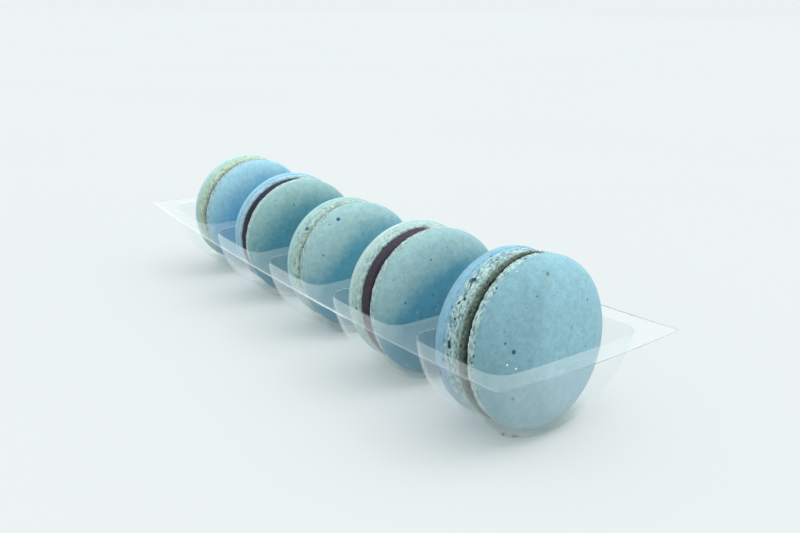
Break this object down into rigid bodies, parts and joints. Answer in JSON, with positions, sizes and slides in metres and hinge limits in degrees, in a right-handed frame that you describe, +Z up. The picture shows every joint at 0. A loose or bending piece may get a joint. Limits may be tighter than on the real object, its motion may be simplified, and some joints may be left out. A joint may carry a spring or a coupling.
{
  "type": "tray of macarons",
  "caption": "Row of pale blue macarons standing on edge in an open tray of thin clear film, each in a deep pocket that hangs below a flat flange.",
  "frame": {"origin": "middle of the tray's footprint, on the surface that the pockets stand on", "axes": "+X along the row of macarons to its near end, +Y across the tray, +Z up"},
  "size_m": [0.206, 0.0624, 0.0465],
  "materials": {
    "film": "thin clear thermoformed film, glossy, nearly colourless, brighter at its folds and cut edges",
    "shell": "dry matte baked almond meringue, pale teal to periwinkle blue, fine grain and specks, crumbly paler ruffled foot",
    "cream": "soft grey-olive cream, deep in shade between the shells",
    "jam": "smooth dark plum jam, slightly glossy"
  },
  "bodies": {
    "root": {"tray": "film", "macaron_1_back_shell": "shell", "macaron_1_filling": "cream", "macaron_1_front_shell": "shell", "macaron_2_back_shell": "shell", "macaron_2_filling": "jam", "macaron_2_front_shell": "shell", "macaron_3_back_shell": "shell", "macaron_3_filling": "cream", "macaron_3_front_shell": "shell", "macaron_4_back_shell": "shell", "macaron_4_filling": "jam", "macaron_4_front_shell": "shell", "macaron_5_back_shell": "shell", "macaron_5_filling": "cream", "macaron_5_front_shell": "shell"}
  },
  "joints": []
}
